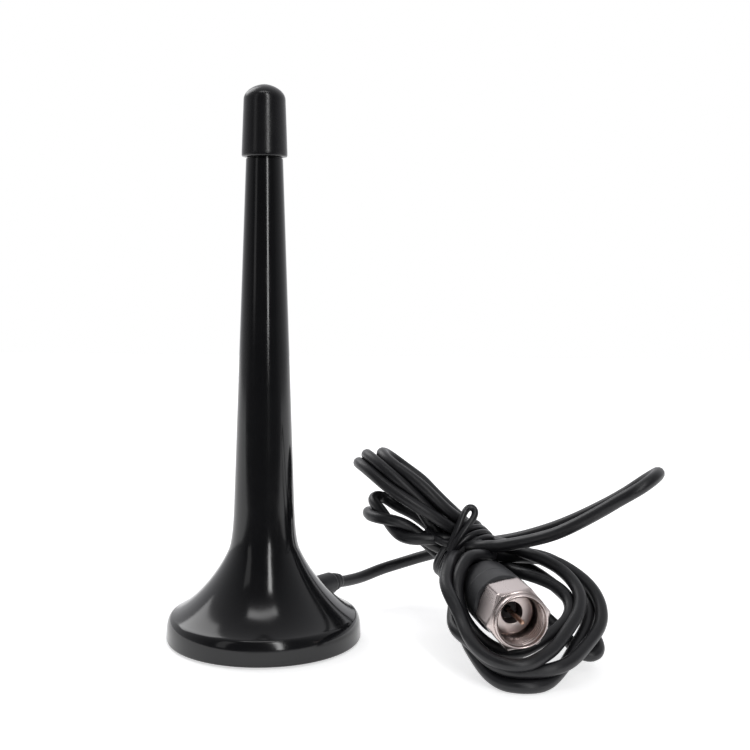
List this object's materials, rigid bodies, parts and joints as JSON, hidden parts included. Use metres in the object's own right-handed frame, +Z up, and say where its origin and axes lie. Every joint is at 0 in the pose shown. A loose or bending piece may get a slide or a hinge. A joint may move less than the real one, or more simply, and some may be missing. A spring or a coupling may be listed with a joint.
{
  "type": "mini magnetic-base television antenna",
  "caption": "Small indoor TV antenna: a glossy tapered mast on a flared magnetic base, with a thin coaxial lead tied in a hank and a screw-on plug.",
  "frame": {"origin": "centre of the foot pad's underside, on the mast's axis, where the antenna stands", "axes": "+Z up the mast; the cord leaves the base towards +X +Y and the plug points towards -Y"},
  "size_m": [0.1024, 0.0622, 0.1154],
  "materials": {
    "gloss_black": "polished black moulding",
    "matt_black": "matt soft black rubber",
    "cord_black": "satin black cable jacket",
    "plate_black": "plain black moulding",
    "nickel": "satin nickel plate",
    "steel": "plain steel",
    "brass": "plain brass",
    "copper": "plain copper",
    "ferrite": "pressed ferrite",
    "nylon": "natural nylon"
  },
  "bodies": {
    "antenna": {"mast_shell": "gloss_black", "top_cap": "gloss_black", "base_insulator": "nylon", "rod_socket": "brass", "feed_tag": "brass", "radiator_rod": "steel", "coil_former": "nylon", "loading_coil": "copper", "rod_bush": "nylon", "foot_pad": "matt_black", "base_plate": "plate_black", "base_screw_1": "steel", "base_screw_2": "steel", "base_screw_3": "steel", "ring_magnet": "ferrite", "ground_disc": "steel", "ground_lug": "brass", "lug_screw": "steel", "cable_gland": "matt_black", "pull_stop": "nylon", "coax_jacket": "cord_black", "coax_dielectric": "nylon", "coax_core": "copper", "ground_pigtail": "copper", "connector_post": "nickel", "post_insulator": "ferrite", "centre_pin": "copper", "crimp_ferrule": "brass", "connector_boot": "matt_black", "plug_coax": "cord_black", "cord_lead": "cord_black", "cord_tail": "cord_black", "hank_front": "cord_black", "hank_rear": "cord_black", "twist_tie": "matt_black"},
    "nut_carrier": {"thrust_washer": "steel"},
    "nut": {"coupling_nut": "nickel"}
  },
  "joints": [
    {"name": "nut_float", "type": "slide", "parent": "antenna", "child": "nut_carrier", "axis": [0.1736, -0.9845, 0.0244], "range_m": [0, 0.0008]},
    {"name": "nut_spin", "type": "hinge", "parent": "nut_carrier", "child": "nut", "pos_m": [0.0507, -0.0315, 0.0137], "axis": [0.1736, -0.9845, 0.0244], "continuous": true}
  ]
}
